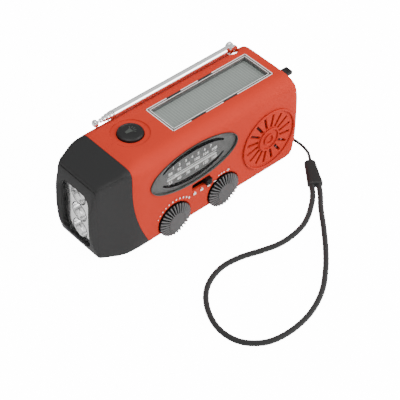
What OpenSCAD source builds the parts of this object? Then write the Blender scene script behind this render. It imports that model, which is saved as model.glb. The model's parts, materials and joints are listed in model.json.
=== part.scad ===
// Pocket emergency radio: a two-part case with a rubber torch head, a dial with a geared pointer,
// a hand crank and dynamo, a solar panel, a telescopic aerial and a wrist strap.
// Origin: centre of the base. +X towards the end away from the torch, -Y is the dial side, +Z is up.

/* [Case] */
// Length of the case along X
case_length = 129; // [126:1:160]
// Height of the case
case_height = 57.5; // [57:0.5:72]
// Depth from the parting plane to the front face
front_depth = 22.2; // [22:0.1:27]
// Depth from the parting plane to the back face
rear_depth = 20; // [20:0.1:25]
// Wall thickness of the case
wall = 2; // [1.6:0.1:2.4]
// Chamfer between the front face and the top
front_chamfer = 5.3; // [4:0.1:6]
// Chamfer between the back face and the top, under the aerial
back_chamfer = 6.8; // [6:0.1:7.5]
// How far the free end bulges outward
end_bulge = 7; // [4:0.5:9]
// Radius of the upright corners of the free end
corner_r = 6; // [4:0.5:8]

/* [Torch head] */
// Distance from the torch end at which the case starts to narrow
taper_length = 23.5; // [20:0.5:26]
// Distance from the torch end to the seam of the rubber head
seam_length = 19.1; // [17:0.1:20]
// Height of the torch end
head_height = 44.3; // [40:0.1:48]
// Height of the lower edge of the torch end
head_lift = 5; // [4:0.1:7]
// Depth of the torch end
head_depth = 27.7; // [26:0.1:30]
// Wall thickness of the rubber head
head_wall = 1.9; // [1.5:0.1:1.9]
// Width of the torch window
window_w = 21; // [18:0.5:22]
// Height of the torch window
window_h = 34; // [30:0.5:36]

/* [Solar panel] */
// Length of the panel frame
solar_l = 65.3; // [55:0.1:70]
// Width of the panel frame
solar_w = 20.7; // [17:0.1:21]
// Width of the frame's rim
solar_rim = 1.6; // [1.2:0.1:2.2]
// Depth of the panel frame
solar_t = 4.2; // [3.6:0.1:4.6]

/* [Dial] */
// Half length of the oval dial window
dial_a = 27.8; // [24:0.1:29]
// Half height of the oval dial window
dial_b = 11.9; // [10:0.1:12.5]
// Length of the pointer slot
slot_l = 32.4; // [30:0.1:34]
// Travel of the dial pointer
pointer_travel = 27; // [20:0.5:28]

/* [Controls] */
// Radius of the tuning and volume knobs
knob_r = 9.9; // [8:0.1:9.9]
// Height of the knobs' centres above the base
knob_z = 10.2; // [10.2:0.1:11]
// Radius of the flat face of a knob
knob_face_r = 5.5; // [4.5:0.1:6.5]
// How far a knob stands out of the front face
knob_proud = 2.1; // [1.5:0.1:3]
// Number of finger ribs on a knob
knob_ribs = 30; // [24:1:36]
// Radius of the knob shafts
shaft_r = 3; // [2.5:0.1:3.2]
// Module of the pointer rack and its gear
rack_module = 0.6; // [0.5:0.05:0.6]
// Teeth of the gear that drives the pointer rack
rack_gear_teeth = 24; // [20:1:24]
// Length of the opening of the band switch
band_slot_l = 11.5; // [10:0.1:13]
// Width of the band slider
slider_w = 3.4; // [3:0.1:4]
// Radius of the torch button's dome
button_r = 6.5; // [5:0.1:7]
// Travel of the torch button
button_travel = 1.5; // [1:0.1:2]

/* [Speaker] */
// Outer radius of the raised ring round the grille
grille_r = 17.5; // [15:0.1:18]
// Number of sound slots
grille_slots = 16; // [12:1:20]
// Radius of the loudspeaker
speaker_r = 14; // [11:0.1:14]

/* [Aerial] */
// Radius of the outermost aerial tube
aerial_r = 2; // [1.8:0.05:2.2]
// Wall of each aerial tube
aerial_wall = 0.3; // [0.25:0.01:0.32]
// Length of the outermost aerial tube
aerial_l = 75; // [60:1:90]
// How far each inner tube shows when folded
aerial_step = 1.9; // [1.5:0.1:2.5]

/* [Crank] */
// Distance from the crank's shaft to the knob's hinge pin
crank_l = 44; // [36:1:50]
// Width of the crank's arm
crank_w = 13; // [12.8:0.1:16]
// Thickness of the crank's arm
crank_t = 5; // [4.5:0.1:6]
// Radius of the turning handle on the crank
handle_r = 3.3; // [3:0.1:3.4]
// Length of the turning handle
handle_l = 17.5; // [14:0.5:20]
// Module of the first gear pair
gear_module = 0.8; // [0.7:0.05:0.8]
// Teeth of the crank gear
crank_teeth = 42; // [36:1:42]
// Teeth of the small gears
pinion_teeth = 14; // [14:1:16]
// Module of the second gear pair
fine_module = 0.6; // [0.5:0.05:0.6]
// Teeth of the idler's large gear
idler_teeth = 36; // [32:1:36]

/* [Clearances] */
// Gap between pieces that slide or pass each other
gap = 0.3; // [0.25:0.05:0.4]
// Radial clearance of a shaft in its bearing
fit = 0.05; // [0.03:0.01:0.08]
// Play between meshing teeth
tooth_play = 0.14; // [0.1:0.01:0.2]

/* [Hidden] */
$fn = 64;
big = 200;
eps = 0.01;

// Ends, faces and shared planes of the case
x_left = -case_length / 2;
x_right = case_length / 2;
y_front = -front_depth;
y_back = rear_depth;
z_top = case_height;
bevel_keep = 2 - sqrt(2);
x_taper = x_left + taper_length;
x_seam = x_left + seam_length;
head_bulge = 2;

// Seam of the rubber head: upright above seam_z, then an arc that runs towards the free end
seam_z = 42;
seam_r = 79.7;
lip_l = 4;
lip_t = 1.4;

// Radius of the arc that bulges by sag over a chord of length h
function bulge_r(h, sag) = (h * h / 4 + sag * sag) / (2 * sag);

// Where the free end's surface is at height z
end_r = bulge_r(z_top, end_bulge);
function end_x(z) = x_right - end_r + sqrt(end_r * end_r - (z - z_top / 2) * (z - z_top / 2));

// Board that carries the radio circuit
board_y = y_front + 14.2;
board_t = 1.6;
board_x0 = x_left + 24.5;
board_x1 = x_left + 90;
board_z0 = 4;
board_z1 = z_top - 7.5;

// Dial
dial_x = x_left + 57;
dial_z = z_top - 18.15;
dial_glass_t = 1.2;
dial_plate_t = 0.65;
dial_ledge = 2;
ledge_t = 1.2;
dial_floor = y_front + wall;
slot_x = dial_x - 1;
slot_z = dial_z - 1.45;
slot_h = 1.5;
backing_h = 3.2;
backing_t = 0.6;

// Knobs
tuning_x = x_left + 44.15;
volume_x = x_left + 76;
cup_r = knob_r + 0.6;
cup_floor = y_front + 1.8;
knob_back = cup_floor - gap;
knob_lip = 0.7;
shaft_end = board_y - 1;
box_front = board_y - 5.4;

// Pointer drive
rack_y = y_front + 6.8;
rack_t = 1.5;
rack_gear_r = rack_module * rack_gear_teeth / 2;
rack_z = knob_z + rack_gear_r;
pointer_rest = 3.1;
pointer_x = slot_x - pointer_travel / 2 + pointer_rest;
arm_w = 1.4;

// Band switch
band_x = x_left + 61.35;
band_z = z_top - 33.9;
band_slot_h = 4;
switch_t = 3.2;
slider_end = 0.25;
slider_proud = 1.6;

// Torch button, over the parting plane
button_x = x_left + 35.1;
ring_r = button_r + 3.25;
ring_depth = 0.5;
flange_r = button_r + 1.1;
switch_top = z_top - wall - 6;

// Solar panel
solar_x = x_right - 12.5 - solar_l / 2;
solar_y = -2.35;
cell_t = 0.5;
cover_t = 0.8;

// Speaker
speaker_x = x_right - 22.54;
speaker_z = 26.06;
grille_rim = 1.2;
mesh_y = y_front + wall;
frame_t = 1.2;
basket_l = 8;

// Aerial: pivot of the tilt joint, and the radii of the five tubes
pivot_x = x_right - 15.3;
pivot_y = y_back - 4.8;
pivot_z = z_top + 1;
tube_count = 5;
tube_drop = aerial_wall + fit + 0.02;
tube_r = [for (i = [0:tube_count - 1]) aerial_r - i * tube_drop];
tongue_l = 3.8;
tongue_t = 2;
ear_t = 1.2;
fork_r = 2.3;
fork_base = z_top - 2.1;
socket_r = 3.9;
tilt_pin_r = 0.7;
swivel_r = 1.5;
swivel_l = 6;
trough_r = 2.9;

// Crank and gears
crank_x = x_left + 86;
crank_z = 27;
crank_shaft_r = 3;
arm_y = y_back + 0.4;
idler_step = gear_module * (crank_teeth + pinion_teeth) / 2;
idler_x = crank_x - idler_step;
dynamo_dir = 200;
dynamo_step = fine_module * (idler_teeth + pinion_teeth) / 2;
dynamo_x = idler_x + dynamo_step * cos(dynamo_dir);
dynamo_z = crank_z + dynamo_step * sin(dynamo_dir);
gear_y = y_back - wall - 3.4;
gear_t = 2.6;
idler_y = gear_y - 3.2;
plate_y = idler_y - 2.2;
plate_t = 1.6;
axle_r = 1.5;
dynamo_r = 10;
dynamo_l = 12;
rotor_r = 7;
knob_pin_x = crank_x - crank_l;
knob_axis_y = arm_y + 0.2 + handle_r;
handle_start = 3;
rod_r = 1.5;
slot_side = 0.7;

// Ports behind the rubber cover on the free end
port_y = -9.5;
usb_z = z_top - 14;
charge_z = z_top - 8.2;
port_x = x_right - 15.2;
cover_w = 15;
cover_z0 = z_top - 20;
cover_z1 = z_top - 2.3;
cover_depth = 1.6;

// Screws through the back of the case, and small screws inside
case_screws_at = [[x_left + 33, 8.5], [x_left + 24.5, z_top - 9.5], [x_right - 20, z_top - 8],
    [x_right - 14.5, 8.5]];
screw_r = 1.25;
screw_head_r = 2.4;
boss_r = 2.8;
board_screws_at = [[x_left + 27, 27], [x_left + 88, 22.5], [x_left + 87, z_top - 10.5]];
gear_screws_at = [[x_left + 42.5, 38], [x_left + 70.5, 47], [x_left + 57.5, 9]];
small_r = 0.9;
small_head_r = 1.7;

// Battery
battery_r = 7;
battery_l = 46;
battery_x = x_left + 62.5;
battery_y = 1.5;
battery_z = battery_r + wall + 1;

// Ferrite aerial
ferrite_r = 4;
ferrite_l = 44;
ferrite_x = x_left + 54.5;
ferrite_y = 3.2;
ferrite_z = z_top - 10.5;

// Wrist strap, lying on the surface that the case stands on
strap_z = 7;
strap_shift = [end_x(strap_z) - 60.6, 0, 0];
string_r = 0.8;
loop_r = 1.5;
ferrule_h = 4.2;
string_route = [[57.2, -4.2, 8.2], [58, -4.2, 9.1], [59.5, -4.2, 9.4], [61.5, -4.2, 8.6], [64.5, -4.6, 6.6],
    [67.5, -6.4, 4.4], [70, -10, 2.2], [71.2, -14, 1.2], [71.2, -18.5, 0.9], [69.7, -23.5, 1.2], [67.3, -27, 1.8],
    [65.2, -30, 2]];
loop_route = [[53.6, -42.5, 1.9], [50, -47, 1.6], [44.5, -52, 1.6], [34.5, -58.5, 1.6], [25, -61.5, 1.6],
    [13.5, -62, 1.6], [3, -59.5, 1.6], [-8, -56, 1.6], [-19, -55, 1.6], [-29.5, -58, 1.6],
    [-37.5, -64, 1.6], [-43.5, -73, 1.6], [-46.5, -83, 1.6], [-45.5, -92.5, 1.6], [-41, -99.5, 1.6],
    [-33, -104.5, 1.6], [-21, -106, 1.6], [-7.5, -104, 1.6], [6, -98, 1.6], [17.5, -89, 1.6],
    [27.5, -79, 1.6], [37, -68, 1.6], [45.5, -57.5, 1.6], [52, -50.5, 1.6], [56.7, -44.6, 1.9]];
ferrule_a = [64.8, -29.4];
ferrule_b = [54.6, -44.4];

// ---------- Drawing helpers ----------

// Extrudes a (y, z) outline along X
module along_x(x0, length) {
    translate([x0, 0, 0]) rotate([90, 0, 90]) linear_extrude(length) children();
}

// Extrudes an (x, z) outline along Y
module along_y(y0, length) {
    translate([0, y0 + length, 0]) rotate([90, 0, 0]) linear_extrude(length) children();
}

module rod_x(x0, y, z, length, r) {
    translate([x0, y, z]) rotate([0, 90, 0]) cylinder(h = length, r = r);
}

module rod_y(x, y0, z, length, r) {
    translate([x, y0, z]) rotate([-90, 0, 0]) cylinder(h = length, r = r);
}

module rod_z(x, y, z0, length, r) {
    translate([x, y, z0]) cylinder(h = length, r = r);
}

// Box from its lowest corner and size
module block(x0, y0, z0, size) {
    translate([x0, y0, z0]) cube(size);
}

function oval(cx, cy, a, b, n = 72) = [for (i = [0:n - 1]) [cx + a * cos(360 * i / n),
    cy + b * sin(360 * i / n)]];

function arc(cx, cy, r, a0, a1, n) = [for (i = [0:n]) let (a = a0 + (a1 - a0) * i / n)
    [cx + r * cos(a), cy + r * sin(a)]];

function round_box(cx, cy, w, h, r, n = 6) = concat(
    arc(cx + w / 2 - r, cy + h / 2 - r, r, 0, 90, n), arc(cx - w / 2 + r, cy + h / 2 - r, r, 90, 180, n),
    arc(cx - w / 2 + r, cy - h / 2 + r, r, 180, 270, n), arc(cx + w / 2 - r, cy - h / 2 + r, r, 270, 360, n));

// ---------- Outer form of the case, inset by t ----------

function side_outline(t) = let (f = y_front + t, b = y_back - t, top = z_top - t,
    cf = front_chamfer - bevel_keep * t, cb = back_chamfer - bevel_keep * t)
    [[f, t + cf], [f + cf, t], [b - cf, t], [b, t + cf], [b, top - cb], [b - cb, top],
    [f + cf, top], [f, top - cf]];

function top_outline(t) = concat(
    [[x_left - 1, -head_depth / 2 + t], [x_left, -head_depth / 2 + t], [x_taper, y_front + t]],
    arc(x_right - corner_r, y_front + corner_r, corner_r - t, -90, 0, 8),
    arc(x_right - corner_r, y_back - corner_r, corner_r - t, 0, 90, 8),
    [[x_taper, y_back - t], [x_left, head_depth / 2 - t], [x_left - 1, head_depth / 2 - t]]);

function front_outline(t) = [[x_left - 1, head_lift + t], [x_left, head_lift + t], [x_taper, t],
    [x_right + 1, t], [x_right + 1, z_top - t], [x_taper, z_top - t],
    [x_left, head_lift + head_height - t], [x_left - 1, head_lift + head_height - t]];

module case_form(t) {
    left_r = bulge_r(head_height, head_bulge);
    intersection() {
        along_x(x_left - 1, case_length + 2) polygon(side_outline(t));
        along_y(-big / 2, big) polygon(front_outline(t));
        linear_extrude(z_top + 1) polygon(top_outline(t));
        union() {
            rod_y(x_right - end_r, -big / 2, z_top / 2, big, end_r - t, $fn = 128);
            block(x_left - 2, -big / 2, -1, [x_right - end_r - x_left + 2, big, big]);
        }
        rod_y(x_left + left_r, -big / 2, head_lift + head_height / 2, big, left_r - t, $fn = 128);
    }
}

// Everything on the free side of the seam, moved by d towards the torch
module seam_side(d) {
    union() {
        rod_y(x_seam + seam_r, -big / 2, seam_z, big, seam_r + d, $fn = 128);
        block(x_seam - d, -big / 2, seam_z, [big, big, big]);
    }
}

// Case wall with the lip that enters the rubber head
module case_wall() {
    difference() {
        union() {
            intersection() {
                case_form(0);
                seam_side(0);
            }
            intersection() {
                case_form(wall);
                seam_side(lip_l);
            }
        }
        case_form(wall + lip_t);
        intersection() {
            case_form(wall);
            seam_side(-3);
        }
    }
}

module boss(p, y0, y1, r) {
    rod_y(p[0], y0, p[1], y1 - y0, r);
}

// Things cut from both halves of the case: panel opening, torch button hole and aerial trough
module top_cuts() {
    block(solar_x - solar_l / 2, solar_y - solar_w / 2, z_top - solar_t, [solar_l, solar_w, solar_t + 1]);
    rod_z(button_x, 0, z_top - ring_depth, 2, ring_r);
    rod_z(button_x, 0, z_top - wall - 2, wall + 3, button_r + gap);
    rod_x(pivot_x - aerial_l - 14, pivot_y, pivot_z, case_length, trough_r);
    rod_z(pivot_x, pivot_y, fork_base, 10, socket_r);
}

// ---------- Case ----------

module front_shell() {
    color("tomato") difference() {
        union() {
            intersection() {
                case_wall();
                block(-big / 2, -big / 2, -1, [big, big / 2, big]);
            }
            intersection() {
                union() {
                    for (p = case_screws_at) boss(p, y_front + 0.5, -gap / 2, boss_r);
                    for (p = board_screws_at) boss(p, y_front + 0.5, board_y, small_r + 1.3);
                    along_y(dial_floor - eps, ledge_t) polygon(oval(dial_x, dial_z, dial_a + 0.8, dial_b + 0.8));
                    for (x = [tuning_x, volume_x]) rod_y(x, cup_floor, knob_z, 1.4, cup_r + 1.2);
                }
                case_form(0.5);
            }
        }
        top_cuts();
        along_y(y_front - 1, wall + 1) polygon(oval(dial_x, dial_z, dial_a, dial_b));
        along_y(y_front - 1, wall + 4) polygon(oval(dial_x, dial_z, dial_a - dial_ledge, dial_b - dial_ledge));
        for (x = [tuning_x, volume_x]) {
            rod_y(x, cup_floor - 5, knob_z, 5, cup_r);
            rod_y(x, cup_floor - 1, knob_z, 5, shaft_r + gap);
        }
        along_y(y_front - 1, wall + 2) polygon(round_box(band_x, band_z, band_slot_l, band_slot_h, 0.6));
        for (i = [0:grille_slots - 1]) translate([speaker_x, 0, speaker_z]) rotate([0, 360 * (i + 0.5) / grille_slots, 0])
            block(7.2, y_front - 1, -0.75, [7.6, wall + 2, 1.5]);
        grille_groove(grille_r - 2.6, grille_r - grille_rim, 0.5);
        grille_groove(4.4, 5.6, 0.6);
        grille_groove(2, 2.9, 0.6);
        for (p = case_screws_at) boss(p, -12, 1, screw_r + fit);
        for (p = board_screws_at) boss(p, board_y - 6, board_y + 1, small_r + fit);
        cover_pocket(0);
        port_openings();
        block(end_x(strap_z) - 5, -7, strap_z - 3.5, [12, 6, 7]);
    }
    color("tomato") strap_bar();
}

// Ring groove round the speaker's centre in the front face
module grille_groove(r0, r1, depth) {
    difference() {
        rod_y(speaker_x, y_front - 1, speaker_z, 1 + depth, r1);
        rod_y(speaker_x, y_front - 2, speaker_z, 4 + depth, r0);
    }
}

// Moulded bar across the strap pocket
module strap_bar() {
    rod_y(end_x(strap_z) - 1.1, -8, strap_z, 8, 1);
}

// Pocket that the rubber port cover fills, less c on each edge
module cover_pocket(c) {
    difference() {
        block(x_right - 12, port_y - cover_w / 2 + c, cover_z0 + c,
            [20, cover_w - 2 * c, cover_z1 - cover_z0 - 2 * c]);
        case_form(cover_depth - c);
    }
}

module port_openings() {
    block(port_x, port_y - 6.6, usb_z - 2.95, [30, 13.2, 5.9]);
    block(port_x, port_y - 4.1, charge_z - 2.1, [30, 8.2, 4.2]);
}

module rear_shell() {
    color("tomato") difference() {
        union() {
            intersection() {
                case_wall();
                block(-big / 2, 0, -1, [big, big / 2, big]);
            }
            intersection() {
                union() {
                    for (p = case_screws_at) boss(p, gap / 2, y_back, boss_r);
                    for (p = gear_screws_at) boss(p, plate_y + plate_t, y_back, small_r + 1.3);
                    rod_y(crank_x, gear_y + gear_t + gap, crank_z, 3, crank_shaft_r + 2);
                    rod_z(pivot_x, pivot_y, fork_base - swivel_l - 2.5, swivel_l + 3, socket_r);
                }
                case_form(0.5);
            }
            rod_z(pivot_x, pivot_y, fork_base - 3, 3, socket_r - 0.2);
        }
        top_cuts();
        rod_y(crank_x, 0, crank_z, y_back + 1, crank_shaft_r + fit);
        for (p = case_screws_at) {
            boss(p, -1, y_back + 1, screw_r + 0.25);
            boss(p, y_back - 3, y_back + 1, screw_head_r + 0.3);
        }
        for (p = gear_screws_at) boss(p, plate_y, plate_y + plate_t + 5, small_r + fit);
        rod_z(pivot_x, pivot_y, fork_base - swivel_l - gap, swivel_l + 2, swivel_r + fit);
    }
}

module nose_cap() {
    color("#333333") difference() {
        case_form(0);
        seam_side(0.1);
        difference() {
            case_form(head_wall);
            block(x_left - 5, -big / 2, -1, [5 + 4, big, big]);
        }
        along_x(x_left - 2, 12) polygon(round_box(0, head_lift + head_height / 2 - 1.2, window_w, window_h, 5));
    }
}

// ---------- Torch ----------

head_mid = head_lift + head_height / 2 - 1.2;
led_pitch = 11;
lens_x = x_left + 1.4;
reflector_x = lens_x + 1.2;
reflector_l = 8.4;
led_board_x = reflector_x + reflector_l;

module torch_lens() {
    color([0.85, 0.9, 0.95, 0.4]) along_x(lens_x, reflector_x - lens_x)
        polygon(round_box(0, head_mid, window_w - 0.2, window_h - 0.2, 4.9));
}

module torch_reflector() {
    color("silver") difference() {
        along_x(reflector_x, reflector_l) polygon(round_box(0, head_mid, window_w - 0.6, window_h - 0.6, 4.7));
        for (i = [-1:1]) translate([reflector_x, 0, head_mid + i * led_pitch]) rotate([0, 90, 0])
            rotate_extrude() polygon([[0, -1], [5.3, -1], [5.3, 0.6], [4.9, 2.5], [4.1, 4.6], [2.9, 6.4],
                [2.9, reflector_l + 1], [0, reflector_l + 1]]);
    }
}

module torch_leds() {
    color("white") for (i = [-1:1]) translate([led_board_x, 0, head_mid + i * led_pitch]) rotate([0, -90, 0])
        rotate_extrude() polygon(concat([[0, 0], [2.7, 0], [2.7, 1], [2.4, 1]], arc(0, 3.2, 2.4, 0, 90, 8)));
}

module torch_led_board() {
    color("darkgreen") block(led_board_x, -9, head_mid - 15.5, [1.2, 18, 31]);
}

// ---------- Solar panel ----------

module solar_frame() {
    color("gainsboro") difference() {
        block(solar_x - solar_l / 2, solar_y - solar_w / 2, z_top - solar_t, [solar_l, solar_w, solar_t]);
        block(solar_x - solar_l / 2 + solar_rim, solar_y - solar_w / 2 + solar_rim, z_top - solar_t + 1.2,
            [solar_l - 2 * solar_rim, solar_w - 2 * solar_rim, solar_t]);
        block(solar_x - solar_l / 2 + solar_rim / 2, solar_y - solar_w / 2 + solar_rim / 2, z_top - cover_t,
            [solar_l - solar_rim, solar_w - solar_rim, 2]);
    }
}

module solar_cell() {
    color("dimgray") block(solar_x - solar_l / 2 + solar_rim + 0.2, solar_y - solar_w / 2 + solar_rim + 0.2,
        z_top - solar_t + 1.2, [solar_l - 2 * solar_rim - 0.4, solar_w - 2 * solar_rim - 0.4, cell_t]);
}

module solar_cover() {
    color([0.9, 0.9, 0.9, 0.3]) block(solar_x - solar_l / 2 + solar_rim / 2 + 0.1,
        solar_y - solar_w / 2 + solar_rim / 2 + 0.1, z_top - cover_t,
        [solar_l - solar_rim - 0.2, solar_w - solar_rim - 0.2, cover_t]);
}

// ---------- Dial ----------

module dial_window() {
    color([0.8, 0.85, 0.85, 0.3]) along_y(dial_floor - dial_plate_t - dial_glass_t, dial_glass_t)
        polygon(oval(dial_x, dial_z, dial_a - 0.1, dial_b - 0.1));
}

module dial_plate() {
    color("gray") difference() {
        along_y(dial_floor - dial_plate_t, dial_plate_t)
            polygon(oval(dial_x, dial_z, dial_a - 0.15, dial_b - 0.15));
        along_y(dial_floor - 2, 4) polygon(round_box(slot_x, slot_z, slot_l, slot_h, slot_h / 2 - eps));
    }
}

// Pale strip behind the slot; the pointer passes in front of it
module dial_backing() {
    color("lightgray") block(dial_x - dial_a - 0.6, dial_floor + ledge_t - eps, slot_z - backing_h / 2,
        [2 * dial_a + 1.2, backing_t, backing_h]);
}

// Rack teeth stand at whole pitches from the gear's centre, offset by half a pitch
function rack_outline(x0, x1, m, z_pitch, z_back, x_mesh) = let (p = PI * m,
    tip = z_pitch - 0.8 * m, root = z_pitch + 1.05 * m, w = p / 4 - tooth_play / 2,
    k0 = ceil((x0 - x_mesh) / p + 0.1), k1 = floor((x1 - x_mesh) / p - 1.1))
    concat([[x0, z_back], [x0, root]],
        [for (k = [k0:k1]) let (c = x_mesh + (k + 0.5) * p, wr = w + (root - z_pitch) * tan(20),
            wt = w - (z_pitch - tip) * tan(20)) each [[c - wr, root], [c - wt, tip], [c + wt, tip],
            [c + wr, root]]],
        [[x1, root], [x1, z_back]]);

module dial_pointer() {
    x0 = tuning_x - 1.5 - (pointer_travel - pointer_rest);
    x1 = tuning_x + 2.6 + pointer_rest;
    foot_z = slot_z - backing_h / 2 - gap - 1.2;
    color("white") union() {
        along_y(rack_y, rack_t) polygon(rack_outline(x0, x1, rack_module, rack_z, rack_z + 2.1, tuning_x));
        block(pointer_x - arm_w / 2, rack_y, rack_z + 1, [arm_w, rack_t, foot_z + 1.2 - rack_z - 1]);
        block(pointer_x - arm_w / 2, dial_floor + 0.1, foot_z, [arm_w, rack_y + rack_t - dial_floor - 0.1, 1.2]);
        block(pointer_x - arm_w / 2, dial_floor + 0.1, foot_z, [arm_w, 0.6, slot_z + 0.4 - foot_z]);
        block(pointer_x - arm_w / 2, dial_floor - 0.45, slot_z - 0.4, [arm_w, 0.8, 0.8]);
    }
}

// ---------- Gears ----------

function inv_deg(rb, r) = r <= rb ? 0 : let (a = acos(rb / r)) tan(a) * 180 / PI - a;

// Half the angle that a tooth spans at radius r
function half_deg(m, n, r) = let (rp = m * n / 2, rb = rp * cos(20))
    90 / n - tooth_play / (4 * rp) * 180 / PI + inv_deg(rb, rp) - inv_deg(rb, max(r, rb));

function gear_outline(m, n, phase) = let (rp = m * n / 2, tip = rp + 0.8 * m, root = rp - 1.05 * m, s = 3)
    [for (k = [0:n - 1]) let (c = phase + k * 360 / n) each concat(
        [for (i = [0:s]) let (r = root + (tip - root) * i / s, a = c - half_deg(m, n, r)) [r * cos(a), r * sin(a)]],
        [for (i = [s:-1:0]) let (r = root + (tip - root) * i / s, a = c + half_deg(m, n, r)) [r * cos(a), r * sin(a)]])];

// Phase of a gear with n2 teeth that meshes with n1 teeth at phase p1, in direction dir from the first
function mesh_phase(n1, p1, n2, dir) = dir + 180 - (0.5 - (dir - p1) * n1 / 360) * 360 / n2;

module gear(x, y, z, m, n, t, phase) {
    translate([x, 0, z]) along_y(y, t) polygon(gear_outline(m, n, phase));
}

idler_phase = mesh_phase(crank_teeth, 0, pinion_teeth, 180);
dynamo_phase = mesh_phase(idler_teeth, 0, pinion_teeth, dynamo_dir);

// ---------- Controls ----------

function ribs_outline(r, n) = [for (i = [0:n - 1]) let (a = 360 / n) each [
    [r * cos(a * (i - 0.22)), r * sin(a * (i - 0.22))], [r * cos(a * (i + 0.22)), r * sin(a * (i + 0.22))],
    [(r - 0.8) * cos(a * (i + 0.34)), (r - 0.8) * sin(a * (i + 0.34))],
    [(r - 0.8) * cos(a * (i + 0.66)), (r - 0.8) * sin(a * (i + 0.66))]]];

// Ribbed knob on a shaft along Y
module knob(x) {
    face_y = y_front - knob_proud;
    difference() {
        intersection() {
            translate([x, 0, knob_z]) along_y(face_y, knob_back - face_y) polygon(ribs_outline(knob_r, knob_ribs));
            translate([x, face_y, knob_z]) rotate([-90, 0, 0]) rotate_extrude()
                polygon([[0, 0], [knob_face_r, 0], [knob_r, knob_proud - knob_lip], [knob_r, 6], [0, 6]]);
        }
        rod_y(x, face_y + 1.4, knob_z, 10, shaft_r);
    }
}

module tuning_knob() {
    color("#555555") knob(tuning_x);
}

module volume_knob() {
    color("#555555") knob(volume_x);
}

module tuning_shaft() {
    color("ivory") union() {
        rod_y(tuning_x, y_front - knob_proud + 1.4, knob_z, shaft_end - y_front + knob_proud - 1.4, shaft_r);
        gear(tuning_x, rack_y, knob_z, rack_module, rack_gear_teeth, rack_t, 90);
    }
}

module volume_shaft() {
    color("silver") rod_y(volume_x, y_front - knob_proud + 1.4, knob_z,
        shaft_end - y_front + knob_proud - 1.4, shaft_r);
}

module tuning_capacitor() {
    color("linen") difference() {
        block(tuning_x - 7.5, box_front, knob_z - 7.4, [15, board_y - box_front, 15]);
        rod_y(tuning_x, box_front - 1, knob_z, shaft_end - box_front + 1.1, shaft_r + fit);
    }
}

module volume_control() {
    color("slategray") difference() {
        rod_y(volume_x, box_front, knob_z, board_y - box_front, 7);
        rod_y(volume_x, box_front - 1, knob_z, shaft_end - box_front + 1.1, shaft_r + fit);
    }
}

module band_switch() {
    color("black") difference() {
        block(band_x - 8, dial_floor, band_z - 3, [16, switch_t, 6]);
        block(band_x - 6.4, dial_floor - 1, band_z - 2.3, [12.8, switch_t - 0.2, 4.6]);
    }
}

module band_slider() {
    x1 = band_x + band_slot_l / 2 - slider_end;
    color("black") union() {
        block(x1 - slider_w, y_front - slider_proud, band_z - 1.7, [slider_w, slider_proud + wall + 1.6, 3.4]);
        block(x1 - slider_w - 0.2, dial_floor + gap, band_z - 2, [slider_w + 0.4, 1.3, 4]);
    }
}

module torch_button() {
    z0 = z_top - wall - gap;
    color("#444444") union() {
        translate([button_x, 0, z0]) rotate_extrude() polygon([[0, -1.3], [flange_r, -1.3], [flange_r, 0],
            [button_r, 0], [button_r, wall + gap + 0.5], [button_r - 0.7, wall + gap + 1.1],
            [button_r - 2.2, wall + gap + 1.5], [0, wall + gap + 1.7]]);
        rod_z(button_x, 0, switch_top + button_travel + 0.2, z0 - switch_top - button_travel - 1, 1.4);
    }
}

module torch_switch() {
    color("black") union() {
        block(button_x - 3, -3, switch_top - 4.5, [6, 6, 3.5]);
        rod_z(button_x, 0, switch_top - 1.1, 1.1, 1.6);
    }
}

module torch_switch_board() {
    color("darkgreen") block(button_x - 7, board_y + board_t, switch_top - 5.7, [14, 11, 1.2]);
}

// ---------- Speaker ----------

module speaker_frame() {
    y0 = mesh_y;
    color("darkgray") translate([speaker_x, y0, speaker_z]) rotate([-90, 0, 0]) rotate_extrude()
        polygon([[speaker_r - 1.5, 0], [speaker_r, 0], [speaker_r, frame_t], [speaker_r - 1.2, frame_t],
            [8, basket_l], [4.2, basket_l], [4.2, basket_l - 0.8], [7.4, basket_l - 0.8],
            [speaker_r - 2.2, frame_t]]);
}

module speaker_cone() {
    color("black") translate([speaker_x, mesh_y, speaker_z]) rotate([-90, 0, 0]) rotate_extrude()
        polygon([[0, 3.6], [2, 3.9], [3.6, 5.2], [speaker_r - 2.6, 1], [speaker_r - 2.6, 1.6], [3.6, 5.9],
            [3.6, 6.8], [0, 6.8]]);
}

module speaker_magnet() {
    color("dimgray") rod_y(speaker_x, mesh_y + basket_l, speaker_z, 4.6, 9);
}

// ---------- Circuit and power ----------

module main_board() {
    color("darkgreen") difference() {
        block(board_x0, board_y, board_z0, [board_x1 - board_x0, board_t, board_z1 - board_z0]);
        for (p = board_screws_at) boss(p, board_y - 1, board_y + board_t + 1, small_r + 0.2);
        for (p = case_screws_at) boss(p, board_y - 1, board_y + board_t + 1, boss_r + 0.5);
    }
}

module small_screw(p, y_seat, dir) {
    translate([p[0], y_seat, p[1]]) rotate([dir * 90, 0, 0]) union() {
        translate([0, 0, -5]) cylinder(h = 5, r = small_r);
        cylinder(h = 1.2, r = small_head_r);
    }
}

module small_screws() {
    color("silver") for (p = board_screws_at) small_screw(p, board_y + board_t, -1);
    color("silver") for (p = gear_screws_at) small_screw(p, plate_y, 1);
}

module ferrite_rod() {
    color("#333333") rod_x(ferrite_x, ferrite_y, ferrite_z, ferrite_l, ferrite_r);
}

module ferrite_coil() {
    color("peru") difference() {
        rod_x(ferrite_x + 8, ferrite_y, ferrite_z, 16, ferrite_r + 0.4);
        rod_x(ferrite_x + 7, ferrite_y, ferrite_z, 18, ferrite_r);
    }
}

module battery_cell() {
    color("royalblue") union() {
        rod_x(battery_x, battery_y, battery_z, battery_l - 1, battery_r);
        rod_x(battery_x + battery_l - 2, battery_y, battery_z, 2, 2.6);
    }
}

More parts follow.
